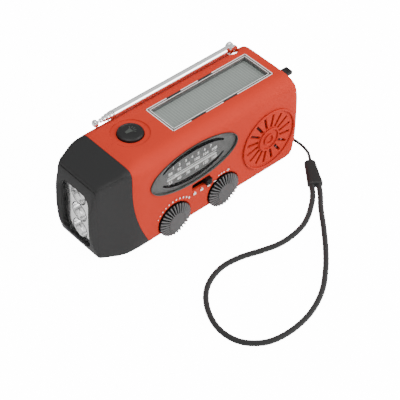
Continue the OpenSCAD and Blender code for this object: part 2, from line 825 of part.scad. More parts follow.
module battery_cradle() {
    color("#222222") difference() {
        block(battery_x + 6, battery_y - battery_r - 0.4, wall, [battery_l - 14, 2 * battery_r + 0.8, 4.6]);
        rod_x(battery_x, battery_y, battery_z, battery_l, battery_r);
    }
}

module case_screws() {
    color("silver") for (p = case_screws_at) union() {
        boss(p, -10, y_back - 3 + eps, screw_r);
        boss(p, y_back - 3, y_back - 1.2, screw_head_r);
    }
}

module port_board() {
    color("darkgreen") block(port_x - 1.2, port_y - 7, usb_z - 5.5, [1.2, 14, 14.5]);
}

module usb_port() {
    color("silver") difference() {
        block(port_x, port_y - 6.5, usb_z - 2.85, [end_x(usb_z + 2.85) - cover_depth - 0.4 - port_x, 13, 5.7]);
        block(port_x + 1, port_y - 6.1, usb_z - 2.45, [12, 12.2, 4.9]);
    }
    color("white") block(port_x + 0.8, port_y - 5.5, usb_z + 0.2, [8, 11, 1.6]);
}

module charge_port() {
    color("silver") difference() {
        block(port_x, port_y - 4, charge_z - 2, [end_x(charge_z + 2) - cover_depth - 0.4 - port_x, 8, 4]);
        block(port_x + 1, port_y - 3.6, charge_z - 1.6, [12, 7.2, 3.2]);
    }
}

// Rubber cover over the ports, with a pull tab at its upper edge
module port_cover() {
    color("#222222") union() {
        intersection() {
            case_form(0);
            cover_pocket(gap);
        }
        block(end_x(cover_z1 - 1.5) - 0.6, port_y - 5.5, cover_z1 - 2.5, [4.4, 4.5, 2]);
    }
}

// ---------- Aerial ----------

module antenna_swivel() {
    color("silver") union() {
        rod_z(pivot_x, pivot_y, fork_base - swivel_l, swivel_l + 0.3, swivel_r);
        rod_z(pivot_x, pivot_y, fork_base + 0.1, 0.7, fork_r + 0.8);
        for (s = [0, 1]) mirror([0, s, 0]) translate([0, s == 0 ? pivot_y : -pivot_y, 0]) difference() {
            union() {
                rod_y(pivot_x, tongue_t / 2 + 0.1, pivot_z, ear_t, fork_r);
                block(pivot_x - fork_r, tongue_t / 2 + 0.1, fork_base + 0.5, [2 * fork_r, ear_t, pivot_z - fork_base - 0.5]);
            }
            rod_y(pivot_x, 0, pivot_z, 5, tilt_pin_r);
        }
    }
}

module antenna_pin() {
    color("gray") rod_y(pivot_x, pivot_y - tongue_t / 2 - 0.1 - ear_t, pivot_z, tongue_t + 0.2 + 2 * ear_t, tilt_pin_r);
}

// One aerial tube, whose free end lies at x0; the outermost also has the tilt tongue
module tube(i) {
    x1 = pivot_x - tongue_l - 0.4;
    x0 = x1 - aerial_l - i * aerial_step;
    r = tube_r[i];
    bore = r - aerial_wall;
    end_x = x1 - (i == 0 ? 0 : 2 + i);
    difference() {
        union() {
            rod_x(x0, pivot_y, pivot_z, end_x - x0, r);
            if (i > 0) rod_x(x0, pivot_y, pivot_z, 0.7, tube_r[i - 1] - 0.1);
        }
        if (i < tube_count - 1) rod_x(x0 - 1, pivot_y, pivot_z, end_x - x0 + (i == 0 ? -2 : 2), bore);
    }
}

module antenna_tube_1() {
    x1 = pivot_x - tongue_l - 0.4;
    color("lightgray") difference() {
        union() {
            tube(0);
            block(x1 - 0.5, pivot_y - tongue_t / 2, pivot_z - aerial_r + 0.1, [pivot_x - x1 + 0.5, tongue_t, 2 * aerial_r - 0.2]);
            rod_y(pivot_x, pivot_y - tongue_t / 2, pivot_z, tongue_t, aerial_r - 0.1);
        }
        rod_y(pivot_x, pivot_y - 5, pivot_z, 10, tilt_pin_r + fit);
    }
}

module antenna_tube_2() {
    color("silver") tube(1);
}

module antenna_tube_3() {
    color("silver") tube(2);
}

module antenna_tube_4() {
    color("silver") tube(3);
}

// Innermost rod with its end button
module antenna_tube_5() {
    x0 = pivot_x - tongue_l - 0.4 - aerial_l - 4 * aerial_step;
    color("silver") union() {
        tube(4);
        translate([x0 - 1.9, pivot_y, pivot_z]) rotate([0, 90, 0]) rotate_extrude()
            polygon([[0, -0.4], [1.1, -0.4], [1.8, 0.2], [2, 0.9], [1.8, 1.6], [1.1, 2.2], [0, 2.2]]);
    }
}

// ---------- Crank and dynamo ----------

module crank_shaft() {
    color("silver") rod_y(crank_x, plate_y, crank_z, arm_y + crank_t - 1.2 - plate_y, crank_shaft_r);
}

module crank_gear() {
    color("ivory") difference() {
        gear(crank_x, gear_y, crank_z, gear_module, crank_teeth, gear_t, 0);
        rod_y(crank_x, gear_y - 1, crank_z, gear_t + 2, crank_shaft_r);
    }
}

module crank_arm() {
    slot_w = 2 * (handle_r + slot_side);
    color("#333333") difference() {
        along_y(arm_y, crank_t) polygon(concat(arc(crank_x, crank_z, crank_w / 2 + 1, -75, 75, 12),
            arc(knob_pin_x - 5 + crank_w / 3, crank_z, crank_w / 2, 90, 270, 12)));
        along_y(arm_y - 1, crank_t + 2) polygon(round_box(knob_pin_x + (handle_l + 3.4 - 2.9) / 2 + 1,
            crank_z, handle_l + 3.4 + 4.9, slot_w, 1));
        rod_y(crank_x, arm_y - 1, crank_z, crank_t - 0.2, crank_shaft_r);
        rod_y(crank_x, arm_y, crank_z, crank_t + 1, screw_r + 0.1);
        rod_y(crank_x, arm_y + crank_t - 1.2, crank_z, 2, screw_head_r + 0.3);
        rod_z(knob_pin_x, knob_axis_y, crank_z - crank_w / 2 - 1, crank_w + 2, 1);
    }
}

module crank_screw() {
    color("silver") rod_y(crank_x, arm_y + crank_t - 1.2, crank_z, 1, screw_head_r);
}

module knob_hinge_pin() {
    color("silver") rod_z(knob_pin_x, knob_axis_y, crank_z - crank_w / 2 + 0.4, crank_w - 0.8, 1);
}

module knob_spindle() {
    eye_w = 2 * (handle_r + slot_side) - 0.8;
    color("silver") difference() {
        union() {
            rod_z(knob_pin_x, knob_axis_y, crank_z - eye_w / 2, eye_w, 2.4);
            rod_x(knob_pin_x, knob_axis_y, crank_z, handle_start + handle_l + 1.2, rod_r);
            rod_x(knob_pin_x + handle_start + handle_l + 0.2, knob_axis_y, crank_z, 1, 2.4);
        }
        rod_z(knob_pin_x, knob_axis_y, crank_z - eye_w, 2 * eye_w, 1 + fit);
    }
}

module crank_knob() {
    x0 = knob_pin_x + handle_start;
    color("#333333") difference() {
        translate([x0, knob_axis_y, crank_z]) rotate([0, 90, 0]) rotate_extrude()
            polygon([[0, 0], [handle_r - 0.5, 0], [handle_r, 0.5], [handle_r, handle_l - 0.8],
                [handle_r - 0.8, handle_l], [0, handle_l]]);
        rod_x(x0 - 1, knob_axis_y, crank_z, handle_l + 2, rod_r + fit);
    }
}

// Chassis plate with the idler's fixed axle
module gearbox_plate() {
    color("gainsboro") union() {
        difference() {
            block(x_left + 37.5, plate_y, 6, [56, plate_t, 44]);
            rod_y(crank_x, plate_y - 1, crank_z, plate_t + 2, crank_shaft_r + fit);
            rod_y(dynamo_x, plate_y - 1, dynamo_z, plate_t + 2, axle_r + 0.5);
            for (p = gear_screws_at) boss(p, plate_y - 1, plate_y + plate_t + 1, small_r + 0.2);
            for (p = case_screws_at) boss(p, plate_y - 1, plate_y + plate_t + 1, boss_r + 0.5);
        }
        rod_y(idler_x, plate_y, crank_z, y_back - wall - plate_y - 0.2, axle_r);
    }
}

module idler_gear() {
    color("ivory") difference() {
        union() {
            gear(idler_x, idler_y, crank_z, fine_module, idler_teeth, 2.4, 0);
            gear(idler_x, idler_y, crank_z, gear_module, pinion_teeth, gear_y + gear_t + 0.1 - idler_y, idler_phase);
        }
        rod_y(idler_x, idler_y - 1, crank_z, 20, axle_r + fit);
    }
}

module dynamo_housing() {
    y0 = plate_y - dynamo_l;
    color("silver") difference() {
        rod_y(dynamo_x, y0, dynamo_z, dynamo_l, dynamo_r);
        rod_y(dynamo_x, y0 + 1, dynamo_z, dynamo_l - 2, rotor_r + 0.6);
        rod_y(dynamo_x, y0 + 2, dynamo_z, dynamo_l, axle_r + fit);
    }
}

module dynamo_rotor() {
    y0 = plate_y - dynamo_l;
    color("peru") union() {
        rod_y(dynamo_x, y0 + 1.6, dynamo_z, dynamo_l - 3.2, rotor_r);
        rod_y(dynamo_x, y0 + 1.6, dynamo_z, idler_y + 2.6 - y0 - 1.6, axle_r);
        gear(dynamo_x, idler_y - 0.2, dynamo_z, fine_module, pinion_teeth, 2.8, dynamo_phase);
    }
}

// ---------- Wrist strap ----------

// Smooth curve through the route's points, n stretches between each pair
function curve_at(a, b, c, d, t) = 0.5 * (2 * b + (c - a) * t + (2 * a - 5 * b + 4 * c - d) * t * t
    + (3 * b - a - 3 * c + d) * t * t * t);

function smooth_route(p, n) = let (m = len(p)) concat([for (i = [0:m - 2], k = [0:n - 1])
    curve_at(p[max(i - 1, 0)], p[i], p[i + 1], p[min(i + 2, m - 1)], k / n)], [p[m - 1]]);

function unit(v) = v / norm(v);

// Tube of radius r with eight sides along the points p
module cord(p, r) {
    m = len(p);
    sides = 8;
    ring_points = [for (i = [0:m - 1]) let (t = unit(p[min(i + 1, m - 1)] - p[max(i - 1, 0)]),
        s = unit(cross([0, 0, 1], t)), u = cross(t, s)) for (k = [0:sides - 1])
        let (a = 360 * (k + 0.5) / sides) p[i] + strap_shift + r * (cos(a) * s + sin(a) * u)];
    caps = [[for (k = [sides - 1:-1:0]) k], [for (k = [0:sides - 1]) (m - 1) * sides + k]];
    walls = [for (i = [0:m - 2], k = [0:sides - 1]) let (a = i * sides + k, b = i * sides + (k + 1) % sides)
        [a, b, b + sides, a + sides]];
    polyhedron(points = ring_points, faces = concat(caps, walls), convexity = 4);
}

module strap_string() {
    color("#222222") cord(smooth_route(string_route, 2), string_r);
}

module wrist_loop() {
    color("#222222") cord(smooth_route(loop_route, 2), loop_r);
}

// Flattened ferrule lying on its side, wider where the loop leaves it
module strap_ferrule() {
    d = ferrule_b - ferrule_a;
    along = unit(d);
    side = [-along[1], along[0]];
    color("#3a3a3a") translate(strap_shift) linear_extrude(ferrule_h) polygon([ferrule_a - 2 * side, ferrule_a + 1.2 * along - 3.2 * side,
        ferrule_b - 4.3 * side, ferrule_b + 4.3 * side, ferrule_a + 1.2 * along + 3.2 * side, ferrule_a + 2 * side]);
}

// ---------- The nodes ----------

front_shell();
rear_shell();
nose_cap();
torch_lens();
torch_reflector();
torch_leds();
torch_led_board();
solar_frame();
solar_cell();
solar_cover();
dial_window();
dial_plate();
dial_backing();
dial_pointer();
tuning_knob();
tuning_shaft();
tuning_capacitor();
volume_knob();
volume_shaft();
volume_control();
band_switch();
band_slider();
speaker_frame();
speaker_cone();
speaker_magnet();
main_board();
small_screws();
torch_button();
torch_switch();
torch_switch_board();
ferrite_rod();
ferrite_coil();
battery_cell();
battery_cradle();
case_screws();
port_board();
usb_port();
charge_port();
port_cover();
antenna_swivel();
antenna_pin();
antenna_tube_1();
antenna_tube_2();
antenna_tube_3();
antenna_tube_4();
antenna_tube_5();
crank_shaft();
crank_gear();
crank_arm();
crank_screw();
knob_spindle();
knob_hinge_pin();
crank_knob();
gearbox_plate();
idler_gear();
dynamo_housing();
dynamo_rotor();
strap_string();
strap_ferrule();
wrist_loop();
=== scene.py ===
import json
import math
import bmesh
import bpy
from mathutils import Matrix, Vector


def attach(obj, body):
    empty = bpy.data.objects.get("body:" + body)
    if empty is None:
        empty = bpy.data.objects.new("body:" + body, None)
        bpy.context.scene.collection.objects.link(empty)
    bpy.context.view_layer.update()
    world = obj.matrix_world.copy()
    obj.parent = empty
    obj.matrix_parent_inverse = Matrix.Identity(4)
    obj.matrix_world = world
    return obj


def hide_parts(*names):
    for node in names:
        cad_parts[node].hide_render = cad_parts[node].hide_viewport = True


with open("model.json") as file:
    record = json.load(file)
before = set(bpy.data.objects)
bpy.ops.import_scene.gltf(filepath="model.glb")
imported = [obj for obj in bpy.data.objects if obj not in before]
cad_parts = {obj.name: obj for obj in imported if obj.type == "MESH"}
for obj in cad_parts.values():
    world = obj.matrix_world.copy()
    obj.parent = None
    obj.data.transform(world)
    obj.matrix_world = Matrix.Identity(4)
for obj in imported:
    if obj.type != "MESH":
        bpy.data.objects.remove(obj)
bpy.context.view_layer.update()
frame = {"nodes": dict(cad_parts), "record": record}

MM = 0.001
NODE_BODY = {n: b for b, ns in frame["record"]["behaviour"]["bodies"].items() for n in ns}
SLOT = {s["node"]: s["material_slot"] for s in frame["record"]["subparts"]}


# ---------- Driving sizes and places, in millimetres, from the CAD nodes ----------

def node_box(node):
    """Lowest and highest corner of a CAD node."""
    obj = frame["nodes"][node]
    corners = [obj.matrix_world @ Vector(c) / MM for c in obj.bound_box]
    return [tuple(round(pick(c[k] for c in corners), 3) for k in range(3)) for pick in (min, max)]


def node_centre(node):
    return tuple((a + b) / 2 for a, b in zip(*node_box(node)))


LEFT_X = node_box("nose_cap")[0][0]
RIGHT_X = node_box("front_shell")[1][0]
FRONT_Y = node_box("front_shell")[0][1]
BACK_Y = node_box("rear_shell")[1][1]
TOP_Z = node_box("front_shell")[1][2]
DIAL_X, _, DIAL_Z = node_centre("dial_window")
PLATE_Y = node_box("dial_plate")[0][1]
SPEAKER_X, _, SPEAKER_Z = node_centre("speaker_frame")

# Sizes of the case's outline that no node's box shows
FRONT_CHAMFER = 5.3
BACK_CHAMFER = 6.8
TAPER_L = 23.5
HEAD_MID_Z = 27.15
END_R = 62.5
CORNER_R = 6
NOSE_R = 123.65


# ---------- Camera ----------

def make_camera():
    """Camera fitted to the photo's view."""
    azimuth, elevation = math.radians(-40.93), math.radians(42.62)
    distance = 800.6 * MM
    target = Vector((-0.5, 0, 29)) * MM
    level = math.cos(elevation)
    back = Vector((math.sin(azimuth) * level, -math.cos(azimuth) * level, math.sin(elevation)))
    cam = bpy.data.cameras.new("camera")
    cam.sensor_width = 36
    cam.lens = 145.44
    cam.shift_x = 0.0592
    cam.shift_y = -0.1252
    cam.clip_start = 0.01
    obj = bpy.data.objects.new("camera", cam)
    obj.location = target + distance * back
    obj.rotation_euler = (-back).to_track_quat("-Z", "Y").to_euler()
    bpy.context.collection.objects.link(obj)
    bpy.context.scene.camera = obj


make_camera()


# ---------- Materials ----------

def add_node(tree, kind, inputs=(), **settings):
    """New shader node, with (input, value) pairs and its own settings."""
    node = tree.nodes.new("ShaderNode" + kind)
    for key, value in settings.items():
        setattr(node, key, value)
    for key, value in inputs:
        node.inputs[key].default_value = value
    return node


def shader(name, colour, rough, metal=0.0, spec=0.5, coat=0.0, grain=900, vary=0.06, bump=0.05,
           bevel=0.0, alpha=1.0, sheen=0.0):
    """Plastic or metal with a slow colour change, a fine grain and soft edges."""
    material = bpy.data.materials.new(name)
    material.use_nodes = True
    tree = material.node_tree
    surface = tree.nodes["Principled BSDF"]
    for key, value in (("Metallic", metal), ("Specular IOR Level", spec), ("Coat Weight", coat),
                       ("Coat Roughness", 0.15), ("Alpha", alpha), ("IOR", 1.46), ("Sheen Weight", sheen)):
        surface.inputs[key].default_value = value
    place = add_node(tree, "TexCoord")
    noise = add_node(tree, "TexNoise", (("Scale", grain), ("Detail", 4)))
    tree.links.new(place.outputs["Object"], noise.inputs["Vector"])
    blotch = add_node(tree, "TexNoise", (("Scale", 40), ("Detail", 3)))
    tree.links.new(place.outputs["Object"], blotch.inputs["Vector"])
    darker = [c * (1 - vary) for c in colour] + [1]
    lighter = [min(1, c * (1 + vary)) for c in colour] + [1]
    mix = add_node(tree, "Mix", data_type="RGBA")
    mix.inputs["A"].default_value = darker
    mix.inputs["B"].default_value = lighter
    tree.links.new(blotch.outputs["Fac"], mix.inputs["Factor"])
    tree.links.new(mix.outputs["Result"], surface.inputs["Base Color"])
    ramp = add_node(tree, "MapRange", (("To Min", max(0.02, rough - 0.05)), ("To Max", min(1, rough + 0.05))))
    tree.links.new(noise.outputs["Fac"], ramp.inputs["Value"])
    tree.links.new(ramp.outputs["Result"], surface.inputs["Roughness"])
    relief = add_node(tree, "Bump", (("Strength", bump), ("Distance", 0.00004)))
    tree.links.new(noise.outputs["Fac"], relief.inputs["Height"])
    if bevel:
        edge = add_node(tree, "Bevel", (("Radius", bevel),), samples=4)
        tree.links.new(edge.outputs["Normal"], relief.inputs["Normal"])
    tree.links.new(relief.outputs["Normal"], surface.inputs["Normal"])
    return material


def striped(material, colour, pitch, share):
    """Fine lines across X, in the piece's own coordinates."""
    tree = material.node_tree
    surface = tree.nodes["Principled BSDF"]
    place = add_node(tree, "TexCoord")
    split = add_node(tree, "SeparateXYZ")
    tree.links.new(place.outputs["Object"], split.inputs["Vector"])
    scale = add_node(tree, "Math", ((1, 1 / pitch),), operation="MULTIPLY")
    tree.links.new(split.outputs["X"], scale.inputs[0])
    part = add_node(tree, "Math", operation="FRACT")
    tree.links.new(scale.outputs["Value"], part.inputs[0])
    line = add_node(tree, "Math", ((1, share),), operation="LESS_THAN")
    tree.links.new(part.outputs["Value"], line.inputs[0])
    mix = add_node(tree, "Mix", data_type="RGBA")
    mix.inputs["B"].default_value = list(colour) + [1]
    tree.links.new(surface.inputs["Base Color"].links[0].from_socket, mix.inputs["A"])
    tree.links.new(line.outputs["Value"], mix.inputs["Factor"])
    tree.links.new(mix.outputs["Result"], surface.inputs["Base Color"])


MAT = {
    "red_plastic": shader("red_plastic", (0.57, 0.037, 0.018), 0.6, spec=0.12, bevel=0.0004, bump=0.08),
    "black_rubber": shader("black_rubber", (0.0095, 0.0095, 0.0098), 0.55, spec=0.45,
                           bevel=0.0004, bump=0.15),
    "clear_plastic": shader("clear_plastic", (0.02, 0.022, 0.022), 0.06, spec=0.5,
                            alpha=0.06, bump=0.0, vary=0.0),
    "bright_chrome": shader("bright_chrome", (0.98, 0.98, 0.98), 0.1, metal=1.0, bevel=0.0002, bump=0.02),
    "white_plastic": shader("white_plastic", (0.80, 0.81, 0.80), 0.35, bevel=0.0002),
    "circuit_board": shader("circuit_board", (0.03, 0.19, 0.08), 0.4, bevel=0.0001),
    "solar_silicon": shader("solar_silicon", (0.27, 0.30, 0.28), 0.35, coat=0.3),
    "grey_print": shader("grey_print", (0.115, 0.118, 0.115), 0.5, bump=0.0),
    "grey_plastic": shader("grey_plastic", (0.062, 0.062, 0.063), 0.45, bevel=0.0003, bump=0.1),
    "nylon": shader("nylon", (0.80, 0.77, 0.68), 0.4, bevel=0.0001),
    "steel": shader("steel", (0.55, 0.55, 0.56), 0.28, metal=1.0, bevel=0.0002),
    "black_plastic": shader("black_plastic", (0.005, 0.005, 0.0053), 0.45, spec=0.3, bevel=0.0004, bump=0.12),
    "speaker_paper": shader("speaker_paper", (0.035, 0.035, 0.035), 0.8, bump=0.4),
    "ferrite": shader("ferrite", (0.05, 0.05, 0.055), 0.5),
    "copper_wire": shader("copper_wire", (0.72, 0.33, 0.16), 0.3, metal=1.0),
    "battery_sleeve": shader("battery_sleeve", (0.04, 0.15, 0.42), 0.3, bevel=0.0003),
    "strap_cord": shader("strap_cord", (0.006, 0.006, 0.006), 0.75, bump=0.5, grain=2500, sheen=0.3),
    "strap_leather": shader("strap_leather", (0.012, 0.011, 0.011), 0.55, bevel=0.0005, bump=0.3, grain=1500),
}
striped(MAT["solar_silicon"], (0.37, 0.41, 0.38), 0.00154, 0.25)
EXTRA = {
    "print_dark": shader("print_dark", (0.002, 0.002, 0.002), 0.6, spec=0.05, bump=0.0, vary=0.0),
    "print_light": shader("print_light", (0.95, 0.96, 0.94), 0.5, bump=0.0, vary=0.0),
    "reflector": shader("reflector", (0.99, 0.99, 0.99), 0.14, metal=1.0, bump=0.0),
    "rim_grey": shader("rim_grey", (0.05, 0.056, 0.05), 0.4),
    # painted highlight: light grey for the rib tops of the black knobs
    "painted_ridge_highlight": shader("painted_ridge_highlight", (0.16, 0.16, 0.162), 0.4),
    "frame_grey": shader("frame_grey", (0.22, 0.15, 0.14), 0.25, coat=0.4),
    "dark_rubber": shader("dark_rubber", (0.004, 0.004, 0.004), 0.5, bevel=0.0004, bump=0.1),
    # painted shade: near-black laid in screw slots, solar frame notches and round the reflector cups' rims,
    # where only shade falls
    "painted_shade": shader("painted_shade", (0.02, 0.02, 0.02), 0.6, vary=0.0),
    "cloth": shader("cloth", (0.05, 0.012, 0.008), 0.9, bump=0.8, grain=3500),
    "floor": shader("floor", (0.93, 0.93, 0.93), 0.7, vary=0.0, bump=0.0),
}
for name, obj in frame["nodes"].items():
    obj.data.materials.clear()
    obj.data.materials.append(MAT[SLOT[name]])
    for face in obj.data.polygons:
        face.material_index = 0
for name, look in (("torch_button", "dark_rubber"), ("solar_frame", "frame_grey"),
                   ("torch_reflector", "reflector")):
    frame["nodes"][name].data.materials[0] = EXTRA[look]


# ---------- Mesh helpers, in millimetres ----------

def piece(name, verts, faces, mat, body="case", slot="black_plastic", smooth=False):
    """One mesh object; without a body it is scratch or stage."""
    mesh = bpy.data.meshes.new(name)
    mesh.from_pydata([tuple(c * MM for c in v) for v in verts], [], faces)
    mesh.validate()
    bm = bmesh.new()
    bm.from_mesh(mesh)
    bmesh.ops.recalc_face_normals(bm, faces=bm.faces)
    bm.to_mesh(mesh)
    bm.free()
    mesh.materials.append(MAT.get(mat) or EXTRA[mat])
    if smooth:
        for f in mesh.polygons:
            f.use_smooth = True
    obj = bpy.data.objects.new(name, mesh)
    bpy.context.collection.objects.link(obj)
    if body:
        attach(obj, body)
    return obj


def prisms(name, outlines, depth, mat, **kw):
    """Flat plates, each from its upper outline down by depth, as one piece."""
    verts, faces = [], []
    for outline in outlines:
        n, sides = len(verts), len(outline)
        verts += outline + [(x, y, z - depth) for x, y, z in outline]
        faces += [tuple(range(n, n + sides)), tuple(range(n + 2 * sides - 1, n + sides - 1, -1))]
        for i in range(sides):
            j = (i + 1) % sides
            faces.append((n + i, n + j, n + sides + j, n + sides + i))
    return piece(name, verts, faces, mat, **kw)


def boxes(name, corners, mat, **kw):
    """Several boxes, each from (lowest corner, size), as one piece."""
    sides = ((0, 1, 3, 2), (4, 6, 7, 5), (0, 4, 5, 1), (2, 3, 7, 6), (0, 2, 6, 4), (1, 5, 7, 3))
    verts, faces = [], []
    for (x, y, z), (a, b, c) in corners:
        n = len(verts)
        verts += [(x + i * a, y + j * b, z + k * c) for i in (0, 1) for j in (0, 1) for k in (0, 1)]
        faces += [[n + i for i in side] for side in sides]
    return piece(name, verts, faces, mat, **kw)


def loft(name, loops, mat, closed=True, **kw):
    """Skin between loops with the same number of points; closed joins the last loop to the first."""
    n = len(loops[0])
    verts = [p for loop in loops for p in loop]
    faces = []
    for i in range(len(loops) if closed else len(loops) - 1):
        j = (i + 1) % len(loops)
        faces += [(i * n + k, i * n + (k + 1) % n, j * n + (k + 1) % n, j * n + k) for k in range(n)]
    if not closed:
        faces += [tuple(range(n)), tuple((len(loops) - 1) * n + k for k in range(n))]
    return piece(name, verts, faces, mat, **kw)


def circle(n):
    return [(math.cos(2 * math.pi * k / n), math.sin(2 * math.pi * k / n)) for k in range(n)]


def front_ring(name, x, z, profile, mat, n=72, **kw):
    """Ring round an axis along Y; profile is a closed list of (radius, depth behind the case's front)."""
    loops = [[(x + r * c, FRONT_Y + depth, z + r * s) for c, s in circle(n)] for r, depth in profile]
    return loft(name, loops, mat, **kw)


def ring_x(name, y, z, profile, mat, n=32, **kw):
    """Ring round an axis along X; profile is a closed list of (radius, x)."""
    loops = [[(x, y + r * c, z + r * s) for c, s in circle(n)] for r, x in profile]
    return loft(name, loops, mat, **kw)


def oval(cx, cz, a, b, y, n=96):
    return [(cx + a * c, y, cz + b * s) for c, s in circle(n)]


def numbers(name, words, level, mat):
    """Plain numbers as thin raised print that faces the front; each word is (text, x, z, size)."""
    verts, faces = [], []
    for text, x, z, size in words:
        curve = bpy.data.curves.new("word", "FONT")
        curve.body = text
        curve.size = size * MM
        curve.align_x = "CENTER"
        curve.align_y = "CENTER"
        curve.extrude = 0.01 * MM
        curve.offset = 0.05 * MM
        curve.resolution_u = 3
        obj = bpy.data.objects.new("word", curve)
        bpy.context.collection.objects.link(obj)
        bpy.context.view_layer.update()
        mesh = bpy.data.meshes.new_from_object(obj)
        n = len(verts)
        for p in mesh.vertices:
            q = p.co / MM
            verts.append((x + q.x, level - q.z, z + q.y))
        faces += [[n + i for i in f.vertices] for f in mesh.polygons]
        bpy.data.objects.remove(obj)
        bpy.data.meshes.remove(mesh)
        bpy.data.curves.remove(curve)
    return piece(name, verts, faces, mat, slot="grey_print")


# ---------- Wrist strap ----------

STRING_ROUTE = [(57.2, -4.2, 8.2), (58, -4.2, 9.1), (59.5, -4.2, 9.4), (61.5, -4.2, 8.6), (64.5, -4.6, 6.6),
                (67.5, -6.4, 4.4), (70, -10, 2.2), (71.2, -14, 1.2), (71.2, -18.5, 0.9), (69.7, -23.5, 1.2),
                (67.3, -27, 1.8), (65.2, -30, 2)]
LOOP_ROUTE = [(53.6, -42.5, 1.9), (50, -47, 1.6), (44.5, -52, 1.6), (34.5, -58.5, 1.6), (25, -61.5, 1.6),
              (13.5, -62, 1.6), (3, -59.5, 1.6), (-8, -56, 1.6), (-19, -55, 1.6), (-29.5, -58, 1.6),
              (-37.5, -64, 1.6), (-43.5, -73, 1.6), (-46.5, -83, 1.6), (-45.5, -92.5, 1.6), (-41, -99.5, 1.6),
              (-33, -104.5, 1.6), (-21, -106, 1.6), (-7.5, -104, 1.6), (6, -98, 1.6), (17.5, -89, 1.6),
              (27.5, -79, 1.6), (37, -68, 1.6), (45.5, -57.5, 1.6), (52, -50.5, 1.6), (56.7, -44.6, 1.9)]
FERRULE = [Vector((64.8, -29.4, 0)), Vector((54.6, -44.4, 0))]


def smooth_route(route, step):
    """Smooth curve through the route's points, as points about a step apart."""
    out = []
    p = [Vector(q) for q in route]
    for i in range(len(p) - 1):
        a, b, c, d = p[max(i - 1, 0)], p[i], p[i + 1], p[min(i + 2, len(p) - 1)]
        n = max(2, round((c - b).length / step))
        for k in range(n):
            t = k / n
            out.append(0.5 * (2 * b + (c - a) * t + (2 * a - 5 * b + 4 * c - d) * t * t
                              + (3 * b - a - 3 * c + d) * t ** 3))
    out.append(p[-1])
    return out


def rope(name, route, radius, step, strands, lay, braid):
    """Cord whose surface follows twisted strands, or strands that cross when it is braided."""
    path = smooth_route(route, step)
    sides = 20
    loops, run = [], 0.0
    for i, q in enumerate(path):
        along = (path[min(i + 1, len(path) - 1)] - path[max(i - 1, 0)]).normalized()
        side = Vector((0, 0, 1)).cross(along).normalized()
        up = along.cross(side)
        if i:
            run += (q - path[i - 1]).length
        loop = []
        for k in range(sides):
            a = 2 * math.pi * k / sides
            turn = 2 * math.pi * run / lay
            if braid:
                h = abs(math.sin(strands * a / 2 + turn)) * abs(math.sin(strands * a / 2 - turn))
                r = radius * (0.93 + 0.09 * h)
            else:
                r = radius * (0.86 + 0.16 * abs(math.cos(strands * a / 2 + turn)))
            loop.append(tuple(q + r * (math.cos(a) * side + math.sin(a) * up)))
        loops.append(loop)
    obj = loft(name, loops, "strap_cord", closed=False, slot="strap_cord", smooth=True)
    return obj, [tuple(q * MM) for q in path], sum((b - a).length for a, b in zip(path, path[1:])) * MM


def make_strap():
    floor_to_middle = 2.1
    corner_power = 0.55
    ferrule = []
    along = (FERRULE[1] - FERRULE[0]).normalized()
    side = Vector((-along.y, along.x, 0))
    for t, w, h in ((0, 1.3, 0.7), (0.35, 2.0, 1.5), (1.2, 2.9, 1.9), (6, 3.2, 2.0), (12, 3.6, 2.05),
                    (16.6, 4.0, 2.1), (17.7, 3.8, 1.9), (18.1, 3.2, 1.4)):
        loop = []
        for k in range(32):
            a = 2 * math.pi * k / 32
            c, s = math.cos(a), math.sin(a)
            x = math.copysign(abs(c) ** corner_power, c) * w
            z = math.copysign(abs(s) ** corner_power, s) * h
            loop.append(tuple(FERRULE[0] + t * along + x * side + Vector((0, 0, floor_to_middle + z))))
        ferrule.append(loop)
    cap = loft("strap_ferrule_visual", ferrule, "strap_leather", closed=False, slot="strap_leather",
               smooth=True)
    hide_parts("strap_ferrule")
    string, path, length = rope("strap_string_visual", STRING_ROUTE, 0.8, 0.4, 3, 5.0, False)
    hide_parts("strap_string")
    loop, path, length = rope("wrist_loop_visual", LOOP_ROUTE, 1.5, 0.7, 6, 6.5, True)
    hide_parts("wrist_loop")


make_strap()


# ---------- Dial ----------

def make_dial():
    """Rim, glass, plain scale and the slot that the pointer shows in."""
    _, (far_x, _, far_z) = node_box("dial_window")
    a, b = far_x - DIAL_X, far_z - DIAL_Z
    rim = [oval(DIAL_X, DIAL_Z, a + 0.1 + d, b + 0.1 + d, FRONT_Y + y) for d, y in
           ((0.0, 0.15), (0.05, -0.04), (-0.1, -0.06), (-0.4, 0.2), (-0.45, 1.28), (-0.05, 1.28))]
    loft("dial_rim", rim, "rim_grey", slot="grey_plastic", smooth=True)
    glass = [oval(DIAL_X, DIAL_Z, a + d, b + d, FRONT_Y + y) for d, y in
             ((-0.05, 1.23), (0, 1.2), (0, 0.3), (-0.15, 0.15))]
    glass = loft("dial_window_visual", glass, "clear_plastic", closed=False, slot="clear_plastic")
    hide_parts("dial_window")
    words = []
    for row, x, step, z, size in (("88 92 96 100 104 108", -14.8, 5.6, 1.45, 2.5),
                                  ("1 2 3 4 5 6 7", -13.0, 4.0, 4.45, 2.3),
                                  ("53 60 70 90 120 160", -14.8, 5.6, -4.25, 2.5)):
        words += [(word, DIAL_X + x + step * i, DIAL_Z + z, size) for i, word in enumerate(row.split())]
    numbers("dial_numbers", words, PLATE_Y - 0.06, "print_light")
    for name, first, last in (("dial_band_upper", 25, 155), ("dial_band_lower", 205, 335)):
        turns = [math.radians(first + (last - first) * k / 12) for k in range(13)]
        dial_band(name, [(21.5 * math.cos(t), 8.8 * math.sin(t)) for t in turns])
    make_dial_slot(DIAL_X - 1, DIAL_Z - 1.45)


